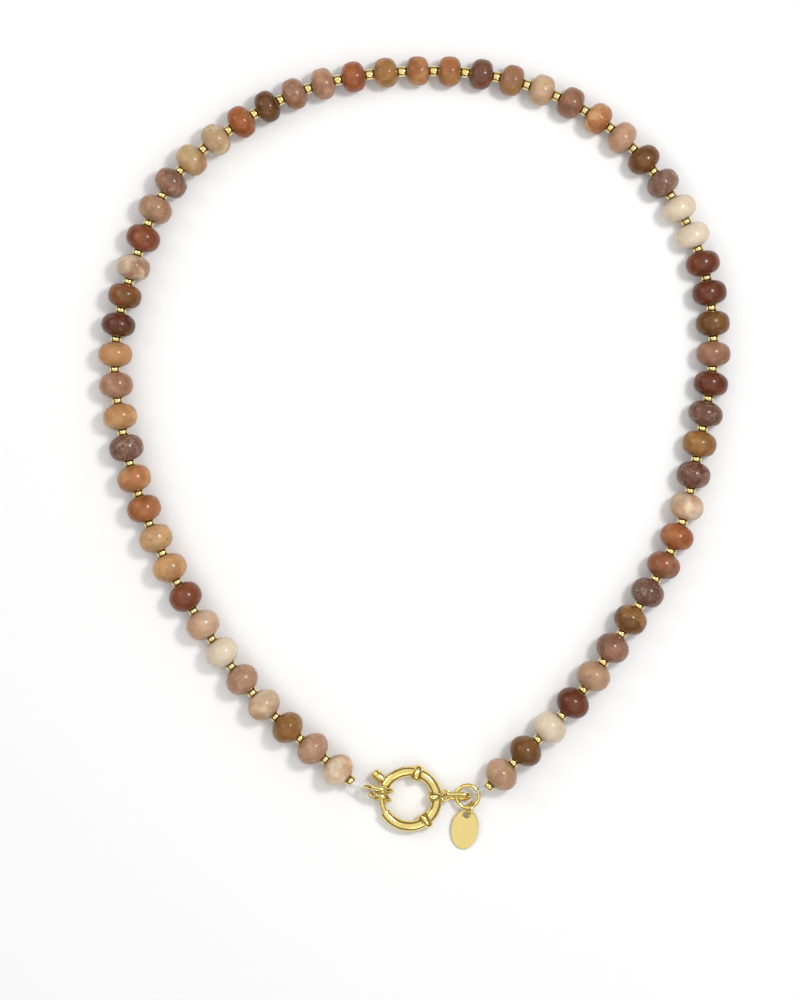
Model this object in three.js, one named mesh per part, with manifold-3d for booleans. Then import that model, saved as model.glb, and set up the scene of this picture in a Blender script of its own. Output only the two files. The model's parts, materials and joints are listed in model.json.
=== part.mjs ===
// A closed beaded necklace, lying flat: polished rondelle stones with small gold spacers between
// them, on a clear thread, and a round spring clasp with jump rings, a link and an oval tag.
// Millimetres, +Z up. The pieces are laid out around the clasp's centre, and at the end the whole
// group is moved so that the middle of its underside is the origin.
import * as THREE from 'three';
import * as BufferGeometryUtils from 'three/addons/utils/BufferGeometryUtils.js';
import Module from 'manifold-3d';

const wasm = await Module();
wasm.setup();

// Stones, spacers and thread. The string is graded: within a number of stones from its middle one,
// at the back of the neck, the stones get smaller and the spacers longer.
const stoneDiameter = 6.9;
const backStoneDiameter = 6;
const spacerDiameter = 2.2;
const spacerLength = 1.1;
const backSpacerLength = 1.9;
const gradedStones = 10;
const threadDiameter = 0.4;

// The places of every third stone as the string lies, from the left end over the top to the right
const stonesPerStep = 3;
const stringRoute = [
  [-14.3, 5.9], [-29.1, 18.9], [-41.3, 34.9], [-50.7, 52.2], [-56.6, 70.3], [-58.8, 89.0],
  [-55.2, 106.4], [-47.7, 123.3], [-33.6, 135.5], [-17.3, 143.1], [1.7, 145.7], [20.5, 143.8],
  [37.7, 136.1], [50.7, 123.2], [58.7, 107.2], [60.8, 89.1], [58.0, 71.1], [53.5, 52.5],
  [44.2, 35.9], [32.7, 19.3], [18.4, 5.0],
];

// Half of a stone's outline between its middle and its face: shares of its half thickness and of
// its radius
const stoneOutline = [
  { along: 0.8, out: 0.73 },
  { along: 0.36, out: 1 },
];

// The clasp's bent tube. Angles run counter-clockwise about its centre, from +X.
const claspDiameter = 13.2;
const tubeDiameter = 2.16;
const boreDiameter = 1.5;
const tubeEndAngle = 153;
const socketEndAngle = 208.5;
const socketDepth = 1.1;

// The collars across the tube and the eye on one of them
const collarAngles = [72.8, -52.5];
const eyeAngle = 5;
const collarDiameter = 2.26;
const collarHeight = 3.5;
const collarInside = 1.7;
const collarOutside = 1.55;
const eyeCollarOutside = 1;
const eyeHoleDiameter = 1.55;
const eyeWire = 0.45;

// A collar's outline outwards along its radius: shares of its length and of its half width
const collarOutline = [
  { along: 0, out: 0.4 },
  { along: 0.08, out: 0.76 },
  { along: 0.28, out: 1 },
  { along: 0.55, out: 0.92 },
  { along: 0.92, out: 0.68 },
  { along: 1, out: 0.42 },
];

// The clasp's lever: a tongue that closes the gap, a neck in the tube's slot and a knob
const tongueDiameter = 1.14;
const tongueInSocket = 0.35;
const tongueBehindKnob = 0.95;
const neckDiameter = 0.9;
const knobAngle = 143.8;
const knobDiameter = 2.1;
const knobLength = 2.3;
const leverTravel = 45;

// The knob's outline outwards, in the same way
const knobOutline = [
  { along: 0, out: 0.8 },
  { along: 0.1, out: 1 },
  { along: 0.8, out: 1 },
  { along: 0.95, out: 0.75 },
  { along: 1, out: 0.4 },
];

// The two jump rings that hang on the tongue. Each stands at a lean from the floor and is turned
// about the vertical, and the tongue passes some way from its middle.
const endRingWire = 0.9;
const endRings = [
  { diameter: 6.3, lean: 82, turn: -10, tongueAngle: 162, tongueOffset: 0.9 },
  { diameter: 5, lean: 76, turn: -16, tongueAngle: 179, tongueOffset: 0.4 },
].map((ring) => ({ ...ring, wire: endRingWire }));

// The pear-shaped link on the eye, and the lying ring that it holds
const link = { length: 5.7, wire: 0.96, eyeRadius: 1, wideRadius: 1.3, lean: 66, turn: -2 };
const joiningRing = { diameter: 5.3, wire: 0.8, slack: 0.55 };

// The small ring on the joining ring, and the tag
const tagRing = { diameter: 3.5, wire: 0.52, lean: 80, turn: -105, onRingAt: -74, offset: 0.35 };
const tag = { length: 8.2, width: 5.5, thickness: 0.5, hole: 1.3, rim: 0.48, turn: -97 };
const tagDrop = 0.6;

// Room around what slides, around a wire that hangs in a loop or a ring, and between the halves
// of the string
const clearance = 0.12;
const play = 0.2;
const stringGap = 0.3;

// How finely round forms are divided
const beadSides = 12;
const wireSides = 6;
const ringSteps = 16;
const beltSteps = 12;
const tagSteps = 28;
const barStepAngle = 11;

const centre2 = new THREE.Vector2();
const up = new THREE.Vector3(0, 0, 1);
const tubeRadius = tubeDiameter / 2;
const claspRadius = claspDiameter / 2 - tubeRadius;

function radians(degrees) {
  return THREE.MathUtils.degToRad(degrees);
}

// A point of the plan at an angle and a distance from a centre
function polar(angle, distance) {
  return new THREE.Vector2(distance, 0).rotateAround(centre2, radians(angle));
}

// The angle that a length takes on the clasp's circle
function angleOf(length) {
  return THREE.MathUtils.radToDeg(length / claspRadius);
}

// A regular polygon around a circle of the given radius, with a flat at the bottom
function polygonAround(radius, sides) {
  const corner = radius / Math.cos(Math.PI / sides);
  return Array.from({ length: sides }, (_, i) => {
    const turn = ((i + 0.5) / sides) * 2 * Math.PI - Math.PI / 2;
    return new THREE.Vector2(Math.cos(turn) * corner, Math.sin(turn) * corner);
  });
}

// A polygon square to the direction in which a row of polygons runs
function sectionAt(centre, direction, across, radius, sides) {
  const lift = new THREE.Vector3().crossVectors(across, direction).normalize();
  return polygonAround(radius, sides).map((corner) => centre.clone()
    .addScaledVector(across, corner.x)
    .addScaledVector(lift, corner.y));
}

// A closed body through a row of polygons with as many corners each. A loop joins its last
// polygon to its first, and any other row gets a flat lid at each end.
function loft(sections, isLoop = false) {
  const sides = sections[0].length;
  const index = [];
  const bands = isLoop ? sections.length : sections.length - 1;
  for (let row = 0; row < bands; row += 1) {
    const next = (row + 1) % sections.length;
    for (let side = 0; side < sides; side += 1) {
      const a = row * sides + side;
      const b = row * sides + ((side + 1) % sides);
      const c = next * sides + side;
      const d = next * sides + ((side + 1) % sides);
      index.push(a, d, b, a, c, d);
    }
  }
  const last = (sections.length - 1) * sides;
  for (let side = 1; !isLoop && side < sides - 1; side += 1) {
    index.push(0, side, side + 1);
    index.push(last, last + side + 1, last + side);
  }
  const positions = sections.flat().flatMap((corner) => corner.toArray());
  const geometry = new THREE.BufferGeometry();
  geometry.setAttribute('position', new THREE.Float32BufferAttribute(positions, 3));
  geometry.setIndex(index);
  return geometry;
}

// A closed wire through points of one plane
function wireLoop(points, planeNormal, wireDiameter) {
  const count = points.length;
  const sections = points.map((point, i) => {
    const direction = points[(i + 1) % count].clone().sub(points[(i + count - 1) % count]);
    return sectionAt(point, direction.normalize(), planeNormal, wireDiameter / 2, wireSides);
  });
  return loft(sections, true);
}

// A closed path around circles that are given counter-clockwise, as a belt runs round pulleys
function belt(circles) {
  const count = circles.length;
  const leaving = circles.map((circle, i) => {
    const next = circles[(i + 1) % count];
    const way = next.centre.clone().sub(circle.centre);
    return way.angle() - Math.acos((circle.radius - next.radius) / way.length());
  });
  return circles.flatMap((circle, i) => {
    const from = leaving[(i + count - 1) % count];
    const turn = THREE.MathUtils.euclideanModulo(leaving[i] - from, 2 * Math.PI);
    const steps = Math.ceil((turn * beltSteps) / (2 * Math.PI));
    return Array.from({ length: steps + 1 }, (_, k) => {
      const angle = from + (turn * k) / steps;
      const reach = new THREE.Vector2(Math.cos(angle), Math.sin(angle));
      return circle.centre.clone().addScaledVector(reach, circle.radius);
    });
  });
}

// A solid for joining and cutting: shared corners merged and the empty triangles at poles left out
function toSolid(geometry) {
  const bare = geometry.clone();
  bare.deleteAttribute('normal');
  bare.deleteAttribute('uv');
  const merged = BufferGeometryUtils.mergeVertices(bare, 1e-5);
  const corners = merged.index.array;
  const kept = [];
  for (let i = 0; i < corners.length; i += 3) {
    const [a, b, c] = corners.slice(i, i + 3);
    if (a !== b && b !== c && c !== a) kept.push(a, b, c);
  }
  return new wasm.Manifold(new wasm.Mesh({
    numProp: 3,
    vertProperties: new Float32Array(merged.attributes.position.array),
    triVerts: new Uint32Array(kept),
  }));
}

function toGeometry(solid) {
  const mesh = solid.getMesh();
  const geometry = new THREE.BufferGeometry();
  geometry.setAttribute('position', new THREE.BufferAttribute(mesh.vertProperties, 3));
  geometry.setIndex(new THREE.BufferAttribute(mesh.triVerts, 1));
  return geometry;
}

function joined(geometries) {
  return geometries.map(toSolid).reduce((whole, solid) => whole.add(solid));
}

// The string of beads

const stoneCount = (stringRoute.length - 1) * stonesPerStep + 1;
const middleStone = Math.ceil(stoneCount / 2);
const route = new THREE.CatmullRomCurve3(
  stringRoute.map(([x, y]) => new THREE.Vector3(x, y, 0)),
  false,
  'catmullrom',
);

// A size at a stone, graded towards the middle one
function graded(frontSize, backSize, number) {
  const share = Math.max(0, 1 - Math.abs(number - middleStone) / gradedStones);
  return THREE.MathUtils.lerp(frontSize, backSize, share);
}

function stoneRadius(number) {
  return graded(stoneDiameter, backStoneDiameter, number) / 2;
}

// Each stone rests on the floor
function stonePlace(number) {
  return route.getPoint((number - 1) / (stoneCount - 1)).setZ(stoneRadius(number));
}

// A stone's centre, its direction along the string, and half of what the spacers leave it
function stoneAt(number) {
  const previous = Math.max(number - 1, 1);
  const next = Math.min(number + 1, stoneCount);
  const way = stonePlace(next).sub(stonePlace(previous));
  const pitch = way.length() / (next - previous);
  const spacer = graded(spacerLength, backSpacerLength, number);
  return {
    centre: stonePlace(number),
    direction: way.normalize(),
    halfThickness: (pitch - spacer) / 2,
  };
}

// A polygon across the string, some way along from a stone's middle
function sectionByStone(number, along, radius) {
  const { centre, direction } = stoneAt(number);
  const across = new THREE.Vector3().crossVectors(direction, up).normalize();
  const place = centre.addScaledVector(direction, along);
  return sectionAt(place, direction, across, radius, beadSides);
}

function stoneSections(number) {
  const { halfThickness } = stoneAt(number);
  const radius = stoneRadius(number);
  const half = [{ along: 1, out: spacerDiameter / 2 / radius }, ...stoneOutline];
  const firstHalf = half.map(({ along, out }) => ({ along: -along, out }));
  return [...firstHalf, ...half.toReversed()].map(({ along, out }) => (
    sectionByStone(number, along * halfThickness, out * radius)
  ));
}

function stones(first, last) {
  return Array.from({ length: last - first + 1 }, (_, i) => stoneSections(first + i)).flat();
}

// The end of a spacer beside a stone, before it (side -1) or after it (side 1)
function spacerEnd(number, side, length) {
  const { halfThickness } = stoneAt(number);
  return sectionByStone(number, side * (halfThickness + length), spacerDiameter / 2);
}

// Where the thread's loop starts, a little way inside the outermost spacer
function threadEntry(number, side) {
  const { centre, direction, halfThickness } = stoneAt(number);
  return centre.addScaledVector(direction, side * (halfThickness + spacerLength - threadDiameter));
}

// The thread's loop around ring wires that cross its plane at the given points. The plane holds
// the way from the entry to the wires and the direction that is to the left of it.
function threadLoop(entry, crossings, wireDiameter, left) {
  const middle = new THREE.Vector3();
  crossings.forEach((crossing) => middle.addScaledVector(crossing, 1 / crossings.length));
  const along = middle.sub(entry).normalize();
  const across = left.clone().addScaledVector(along, -left.dot(along)).normalize();
  const circles = crossings.map((crossing) => {
    const way = crossing.clone().sub(entry);
    return {
      centre: new THREE.Vector2(way.dot(along), way.dot(across)),
      radius: wireDiameter / 2 + play + threadDiameter / 2,
    };
  }).toSorted((a, b) => a.centre.y - b.centre.y);
  const start = { centre: new THREE.Vector2(), radius: threadDiameter };
  const points = belt([start, ...circles]).map((point) => entry.clone()
    .addScaledVector(along, point.x)
    .addScaledVector(across, point.y));
  return wireLoop(points, along.clone().cross(across), threadDiameter);
}

// Jump rings, and the height of the clasp, whose tongue rests on the lower wires of two of them

function wireRadius({ diameter, wire }) {
  return (diameter - wire) / 2;
}

function ringGeometry(ring) {
  return new THREE.TorusGeometry(wireRadius(ring), ring.wire / 2, wireSides, ringSteps);
}

// The height of a leaning ring's centre when it stands on the floor
function standingHeight(ring) {
  return wireRadius(ring) * Math.sin(radians(ring.lean)) + ring.wire / 2;
}

function tongueHeight(ring) {
  const room = wireRadius(ring) - (ring.wire + tongueDiameter) / 2 - play;
  const drop = Math.sqrt(room ** 2 - ring.tongueOffset ** 2);
  return standingHeight(ring) - drop * Math.sin(radians(ring.lean));
}

const claspHeight = Math.max(...endRings.map(tongueHeight));

function atClaspHeight(place) {
  return new THREE.Vector3(place.x, place.y, claspHeight);
}

// The centre of a standing ring that something crosses at the clasp's height, at a distance from
// the ring's middle along its turned axis
function standingCentre(ring, crossing, distance) {
  const height = standingHeight(ring);
  const shift = (height - claspHeight) / Math.tan(radians(ring.lean));
  const place = crossing.clone().sub(polar(ring.turn, distance)).add(polar(ring.turn + 90, shift));
  return new THREE.Vector3(place.x, place.y, height);
}

// Where the pieces hang in each other, in plan

const eyeOuterRadius = eyeHoleDiameter / 2 + eyeWire;
const eyePlace = polar(eyeAngle, claspRadius + eyeCollarOutside + eyeHoleDiameter / 2);
const joiningRadius = wireRadius(joiningRing);
const joiningDistance = eyeOuterRadius + joiningRing.slack + joiningRing.wire / 2 + joiningRadius;
const joiningPlace = eyePlace.clone().add(polar(link.turn, joiningDistance));

function onJoiningRing(angle) {
  return joiningPlace.clone().add(polar(angle, joiningRadius));
}

function endRingCentre(ring) {
  return standingCentre(ring, polar(ring.tongueAngle, claspRadius), ring.tongueOffset);
}

function endRingTip(ring) {
  const reach = polar(ring.turn + 180, wireRadius(ring));
  return endRingCentre(ring).add(new THREE.Vector3(reach.x, reach.y, 0));
}

const tagRingCentre = standingCentre(tagRing, onJoiningRing(tagRing.onRingAt), -tagRing.offset);

// The pieces

function stringLeft() {
  const body = loft([spacerEnd(1, -1, spacerLength), ...stones(1, middleStone)]);
  const entry = threadEntry(1, -1);
  const tips = endRings.map(endRingTip);
  const left = up.clone().cross(tips[0].clone().sub(entry));
  return toGeometry(joined([body, threadLoop(entry, tips, endRingWire, left)]));
}

function stringRight() {
  const body = loft([
    spacerEnd(middleStone, 1, stringGap),
    ...stones(middleStone + 1, stoneCount),
    spacerEnd(stoneCount, 1, spacerLength),
  ]);
  const entry = threadEntry(stoneCount, 1);
  const way = new THREE.Vector2(entry.x, entry.y).sub(joiningPlace);
  const hold = onJoiningRing(THREE.MathUtils.radToDeg(way.angle()));
  const loop = threadLoop(entry, [atClaspHeight(hold)], joiningRing.wire, up);
  return toGeometry(joined([body, loop]));
}

class ClaspArc extends THREE.Curve {
  constructor(start, end) {
    super();
    this.start = start;
    this.end = end;
  }

  getPoint(t) {
    const place = polar(THREE.MathUtils.lerp(this.start, this.end, t), claspRadius);
    return new THREE.Vector3(place.x, place.y, 0);
  }
}

// A round bar bent along the clasp's circle
function bentBar(start, end, diameter, sides) {
  return new THREE.ExtrudeGeometry(new THREE.Shape(polygonAround(diameter / 2, sides)), {
    steps: Math.ceil((end - start) / barStepAngle),
    bevelEnabled: false,
    extrudePath: new ClaspArc(start, end),
  });
}

// A turned piece that stands out along one of the clasp's radii
function turnedOutwards(outline, angle, fromRadius, length, radius) {
  const profile = outline.map(({ along, out }) => new THREE.Vector2(out * radius, along * length));
  const first = new THREE.Vector2(0, profile[0].y);
  const last = new THREE.Vector2(0, profile.at(-1).y);
  const geometry = new THREE.LatheGeometry([first, ...profile, last], beadSides);
  geometry.translate(0, fromRadius, 0);
  geometry.rotateZ(radians(angle - 90));
  return geometry;
}

// An egg-shaped collar, taller than it is wide, so that it stands proud of the tube all round
function collar(angle, outside) {
  const length = collarInside + outside;
  const start = claspRadius - collarInside;
  return turnedOutwards(collarOutline, angle, start, length, collarDiameter / 2)
    .scale(1, 1, collarHeight / collarDiameter);
}

function eye() {
  const middle = (eyeHoleDiameter + eyeWire) / 2;
  const geometry = new THREE.TorusGeometry(middle, eyeWire / 2, wireSides, beadSides);
  return geometry.translate(eyePlace.x, eyePlace.y, 0);
}

// The slot on the outer side of the tube, as long as the neck travels
function neckSlot() {
  const margin = angleOf(neckDiameter / 2 + clearance);
  const start = radians(knobAngle - leverTravel - margin);
  const end = radians(knobAngle + margin);
  const outside = claspRadius + tubeDiameter;
  const width = neckDiameter + 2 * clearance;
  const sector = new THREE.Shape();
  sector.absarc(0, 0, outside, start, end, false);
  sector.absarc(0, 0, claspRadius, end, start, true);
  const options = { depth: width, bevelEnabled: false };
  return new THREE.ExtrudeGeometry(sector, options).translate(0, 0, -width / 2);
}

function claspBody() {
  const overrun = angleOf(tubeRadius);
  const tailAngle = knobAngle - leverTravel - angleOf(tongueBehindKnob + clearance);
  const tube = bentBar(socketEndAngle, tubeEndAngle + 360, tubeDiameter, beadSides);
  const bore = bentBar(tailAngle, tubeEndAngle + overrun, boreDiameter, beadSides);
  const socketBottom = socketEndAngle + angleOf(socketDepth);
  const socket = bentBar(socketEndAngle - overrun, socketBottom, boreDiameter, beadSides);
  const collars = collarAngles.map((angle) => collar(angle, collarOutside));
  const outer = joined([tube, ...collars, collar(eyeAngle, eyeCollarOutside), eye()]);
  return toGeometry([bore, socket, neckSlot()].reduce((rest, cut) => (
    rest.subtract(toSolid(cut))
  ), outer));
}

function claspLever() {
  const start = knobAngle - angleOf(tongueBehindKnob);
  const end = socketEndAngle + angleOf(tongueInSocket);
  const knobStart = claspRadius + tubeRadius + clearance;
  const plain = [{ along: 0, out: 1 }, { along: 1, out: 1 }];
  const neckLength = tubeRadius + clearance + neckDiameter / 4;
  return toGeometry(joined([
    bentBar(start, end, tongueDiameter, beadSides),
    turnedOutwards(plain, knobAngle, claspRadius, neckLength, neckDiameter / 2),
    turnedOutwards(knobOutline, knobAngle, knobStart, knobLength, knobDiameter / 2),
  ]));
}

function linkGeometry() {
  const far = link.length - link.wire - link.wideRadius;
  const path = belt([
    { centre: new THREE.Vector2(link.eyeRadius, 0), radius: link.eyeRadius },
    { centre: new THREE.Vector2(far, 0), radius: link.wideRadius },
  ]);
  return wireLoop(path.map(({ x, y }) => new THREE.Vector3(x, y, 0)), up, link.wire);
}

// The tag lies flat in its own frame, with its hole at the middle and its tip along +X
function tagGeometry() {
  const middle = tag.length / 2 - tag.rim - tag.hole / 2;
  const oval = new THREE.Shape();
  oval.absellipse(middle, 0, tag.length / 2, tag.width / 2, 0, 2 * Math.PI);
  oval.holes.push(new THREE.Path().absarc(0, 0, tag.hole / 2, 0, 2 * Math.PI));
  const options = { depth: tag.thickness, bevelEnabled: false, curveSegments: tagSteps };
  return new THREE.ExtrudeGeometry(oval, options).translate(0, 0, -tag.thickness / 2);
}

const necklace = new THREE.Group();
const goldLook = { color: 0xdcb65a, metalness: 1, roughness: 0.16 };
const satinGoldLook = { color: 0xe6c878, metalness: 1, roughness: 0.4 };
const stoneLook = { color: 0xa9785d, metalness: 0, roughness: 0.12 };

function addPiece(name, geometry, look) {
  const piece = new THREE.Mesh(geometry, new THREE.MeshStandardMaterial(look));
  piece.name = name;
  necklace.add(piece);
  return piece;
}

function addStanding(name, geometry, look, centre, { lean, turn }) {
  const piece = addPiece(name, geometry, look);
  piece.position.copy(centre);
  piece.rotation.set(radians(lean), 0, radians(turn), 'ZYX');
}

// The tag's hole hangs on its ring's lower wire and its tip touches the floor
function addTag() {
  const holeHeight = tagRingCentre.z - tagDrop * Math.sin(radians(tagRing.lean));
  const reach = Math.sqrt(wireRadius(tagRing) ** 2 - tagDrop ** 2);
  const aside = tag.hole / 2 - tagRing.wire / 2 - clearance;
  const place = new THREE.Vector2(tagRingCentre.x, tagRingCentre.y)
    .add(polar(tagRing.turn, reach))
    .add(polar(tagRing.turn + 90, -tagDrop * Math.cos(radians(tagRing.lean))))
    .add(polar(tag.turn - 90, aside));
  const tipDistance = tag.length - tag.rim - tag.hole / 2;
  const corner = Math.hypot(tipDistance, tag.thickness / 2);
  const tilt = Math.asin(holeHeight / corner) - Math.atan(tag.thickness / 2 / tipDistance);
  const piece = addPiece('tag', tagGeometry(), satinGoldLook);
  piece.position.set(place.x, place.y, holeHeight);
  piece.rotation.set(0, tilt, radians(tag.turn), 'ZYX');
}

addPiece('string_left', stringLeft(), stoneLook);
addPiece('string_right', stringRight(), stoneLook);
addPiece('clasp_body', claspBody(), goldLook).position.z = claspHeight;
addPiece('clasp_lever', claspLever(), goldLook).position.z = claspHeight;
endRings.forEach((ring, i) => {
  addStanding(`end_ring_${i + 1}`, ringGeometry(ring), goldLook, endRingCentre(ring), ring);
});
addStanding('clasp_link', linkGeometry(), goldLook, atClaspHeight(eyePlace), link);
addPiece('joining_ring', ringGeometry(joiningRing), goldLook)
  .position.copy(atClaspHeight(joiningPlace));
addStanding('tag_ring', ringGeometry(tagRing), goldLook, tagRingCentre, tagRing);
addTag();

const extent = new THREE.Box3().setFromObject(necklace, true);
const middle = extent.getCenter(new THREE.Vector3());
necklace.position.set(-middle.x, -middle.y, -extent.min.z);

export default necklace;
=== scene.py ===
# %% [markdown]
# # A necklace of polished stones, lying flat
# The necklace is one closed loop: sixty-one polished stones with a small gold bead between each two,
# a round spring clasp at the front with its jump rings, and a bare oval tag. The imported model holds
# every solid at its real size and place. This notebook gives each of them its fine surface and its
# finish, in the same frame, in metres.

import json

import bmesh
import bpy
import numpy as np
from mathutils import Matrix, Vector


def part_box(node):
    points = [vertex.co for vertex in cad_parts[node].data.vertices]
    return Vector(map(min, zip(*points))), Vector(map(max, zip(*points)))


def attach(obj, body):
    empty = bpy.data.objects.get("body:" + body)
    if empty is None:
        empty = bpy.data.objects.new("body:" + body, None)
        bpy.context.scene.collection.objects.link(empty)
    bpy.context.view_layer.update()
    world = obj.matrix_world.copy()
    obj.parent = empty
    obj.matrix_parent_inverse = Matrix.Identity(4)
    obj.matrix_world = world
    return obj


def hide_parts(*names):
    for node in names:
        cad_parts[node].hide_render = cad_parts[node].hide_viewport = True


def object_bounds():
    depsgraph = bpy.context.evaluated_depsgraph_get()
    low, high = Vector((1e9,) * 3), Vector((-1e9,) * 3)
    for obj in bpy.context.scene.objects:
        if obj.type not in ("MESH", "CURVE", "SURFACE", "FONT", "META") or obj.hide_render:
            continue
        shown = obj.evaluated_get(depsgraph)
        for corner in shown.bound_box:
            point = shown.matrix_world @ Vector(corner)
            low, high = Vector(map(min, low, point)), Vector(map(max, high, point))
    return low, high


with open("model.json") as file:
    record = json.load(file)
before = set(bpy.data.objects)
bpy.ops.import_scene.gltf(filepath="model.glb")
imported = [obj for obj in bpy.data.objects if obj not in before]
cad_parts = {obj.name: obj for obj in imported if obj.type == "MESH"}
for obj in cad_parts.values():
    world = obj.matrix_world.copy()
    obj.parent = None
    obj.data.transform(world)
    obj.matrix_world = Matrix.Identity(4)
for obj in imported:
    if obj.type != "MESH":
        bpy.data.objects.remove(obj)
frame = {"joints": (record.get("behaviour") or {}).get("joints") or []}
cad_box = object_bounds()
scene = bpy.context.scene
MM = 0.001
UP = np.array([0.0, 0.0, 1.0])
clasp_centre = np.array(frame["joints"][0]["pos_m"])
print("the model measures", [round(side / MM, 1) for side in cad_box[1] - cad_box[0]], "mm")

# %% [markdown]
# ## Camera
# The necklace lies on a table and is seen from straight above. A long lens, far away, keeps the
# stones at the edge of the picture from showing their sides. Its height is worked out so that the
# middle of the stones is shown at the picture's scale.

# %% Camera
PICTURE = np.array([800, 1000])
CLASP_IN_PICTURE = np.array([409.3, 799.4])
PIXEL = 0.2 * MM
LENS = 135
SENSOR = 36

stone_middle = (cad_box[1].z - cad_box[0].z) / 2
picture_centre = clasp_centre[:2] + (PICTURE / 2 - CLASP_IN_PICTURE) * (PIXEL, -PIXEL)
camera = bpy.data.objects.new("camera", bpy.data.cameras.new("camera"))
camera.data.lens = LENS
camera.data.sensor_width = SENSOR
camera.location = (*picture_centre, stone_middle + PICTURE.max() * PIXEL * LENS / SENSOR)
scene.collection.objects.link(camera)
scene.camera = camera
print("the camera stands", round(camera.location.z / MM), "mm above the table")

# %% [markdown]
# ## Shader maths that reads as arithmetic
# A finish is a tree of nodes, and most of them add, multiply or compare numbers. Wrapping an output
# in a small class whose operators add the Math nodes keeps a finish readable as a formula. Every
# other node comes from one method, which sets the node's own settings before its sockets.


# %% Shader maths
class Value:
    """One output of a node. Arithmetic with it adds Math nodes."""

    def __init__(self, recipe, socket):
        self.recipe = recipe
        self.socket = socket

    def __add__(self, other):
        return self.recipe.maths("ADD", self, other)

    def __radd__(self, other):
        return self.recipe.maths("ADD", other, self)

    def __sub__(self, other):
        return self.recipe.maths("SUBTRACT", self, other)

    def __rsub__(self, other):
        return self.recipe.maths("SUBTRACT", other, self)

    def __mul__(self, other):
        return self.recipe.maths("MULTIPLY", self, other)

    def __rmul__(self, other):
        return self.recipe.maths("MULTIPLY", other, self)


class Recipe:
    """A node tree that is filled in step by step."""

    def __init__(self, tree):
        self.tree = tree
        tree.nodes.clear()

    def node(self, kind, settings=None, sockets=None, output=0):
        """Adds a node. Settings are set first: a ramp's stops, or any property of the node."""
        made = self.tree.nodes.new("ShaderNode" + kind)
        for name, setting in (settings or {}).items():
            if name == "stops":
                self.set_stops(made.color_ramp, setting)
            else:
                setattr(made, name, setting)
        for key, value in (sockets or {}).items():
            if isinstance(value, Value):
                self.tree.links.new(value.socket, made.inputs[key])
            else:
                made.inputs[key].default_value = value
        return Value(self, made.outputs[output]) if made.outputs else None

    @staticmethod
    def set_stops(ramp, stops):
        while len(ramp.elements) < len(stops):
            ramp.elements.new(1)
        for element, (place, shade) in zip(ramp.elements, stops):
            element.position = place
            element.color = (shade, shade, shade, 1)

    def maths(self, operation, *values):
        return self.node("Math", {"operation": operation}, dict(enumerate(values)))

    def between(self, value, low, high):
        """0 below low, 1 above high, and a smooth step between them."""
        sockets = {0: value, 1: low, 2: high, 3: 0.0, 4: 1.0}
        return self.node("MapRange", {"interpolation_type": "SMOOTHSTEP"}, sockets)

    def blend(self, share, first, second, way="MIX"):
        """Two colours mixed by a share."""
        settings = {"data_type": "RGBA", "blend_type": way}
        return self.node("Mix", settings, {0: share, 6: first, 7: second}, output=2)

    def attribute(self, name, output="Fac"):
        return self.node("Attribute", {"attribute_name": name}, output=output)

    def noise(self, place, scale, detail=2.0, roughness=0.5, distortion=0.0):
        sockets = {
            "Vector": place,
            "Scale": scale,
            "Detail": detail,
            "Roughness": roughness,
            "Distortion": distortion,
        }
        return self.node("TexNoise", {}, sockets)

    def bump(self, height, depth, strength=1.0):
        return self.node("Bump", {}, {"Height": height, "Distance": depth, "Strength": strength})

    def surface(self, **sockets):
        """Ends the tree in a surface. A name such as coat_weight sets the socket Coat Weight."""
        titles = [key.replace("_", " ").title().replace("Ior", "IOR") for key in sockets]
        shader = self.node("BsdfPrincipled", {}, dict(zip(titles, sockets.values())))
        self.node("OutputMaterial", {}, {"Surface": shader})


def new_finish(name):
    """A new material and the recipe that fills its tree."""
    material = bpy.data.materials.new(name)
    material.use_nodes = True
    return material, Recipe(material.node_tree)


def tone(code):
    """The linear colour of a tone that is written as six hexadecimal digits, as a screen shows it."""
    shown = np.array([int(code[i:i + 2], 16) for i in (0, 2, 4)]) / 255
    linear = np.where(shown > 0.04045, ((shown + 0.055) / 1.055) ** 2.4, shown / 12.92)
    return (*linear, 1.0)


print("a middle grey is", round(tone("808080")[0], 3), "in linear light")

# %% [markdown]
# ## Studio
# Polished gold shows its surroundings more than its own colour, so the room is built for it: a sky
# that is bright overhead and dark towards the horizon draws a dark line along each bent tube, and
# two soft boxes give the broad pale bands. A small lamp makes the one sharp dot on every stone.

# %% Light and floor
STUDIO_REACH = 0.6
FLOOR_SIDE = 4.0

# How far up a direction points, from 0 to 1, where the sky starts and stops changing
LOW_STEP = (0.2, 0.42)
HIGH_STEP = (0.5, 0.8)


def softbox(name, tilt, turn, side, radiance):
    """A square lamp that faces the necklace. Tilt is its angle from overhead, turn from +X."""
    tilt, turn = np.radians([tilt, turn])
    way = np.array([np.sin(tilt) * np.cos(turn), np.sin(tilt) * np.sin(turn), np.cos(tilt)])
    lamp = bpy.data.objects.new(name, bpy.data.lights.new(name, "AREA"))
    lamp.data.size = side
    lamp.data.energy = radiance * np.pi * side**2
    lamp.location = np.array([*picture_centre, 0]) + way * STUDIO_REACH
    lamp.rotation_euler = (0, tilt, turn)
    scene.collection.objects.link(lamp)


def studio_sky(overhead, middle, horizon):
    """A sky that is dark up to a low height, then even, and bright overhead."""
    scene.world = bpy.data.worlds.new("studio")
    scene.world.use_nodes = True
    sky = Recipe(scene.world.node_tree)
    way = sky.node("TexCoord", output="Generated")
    height = sky.node("SeparateXYZ", {}, {"Vector": way}, output="Z")
    low = (middle - horizon) * sky.between(height, *LOW_STEP)
    high = (overhead - middle) * sky.between(height, *HIGH_STEP)
    light = sky.node("Background", {}, {"Strength": horizon + low + high})
    sky.node("OutputWorld", {}, {"Surface": light})


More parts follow.
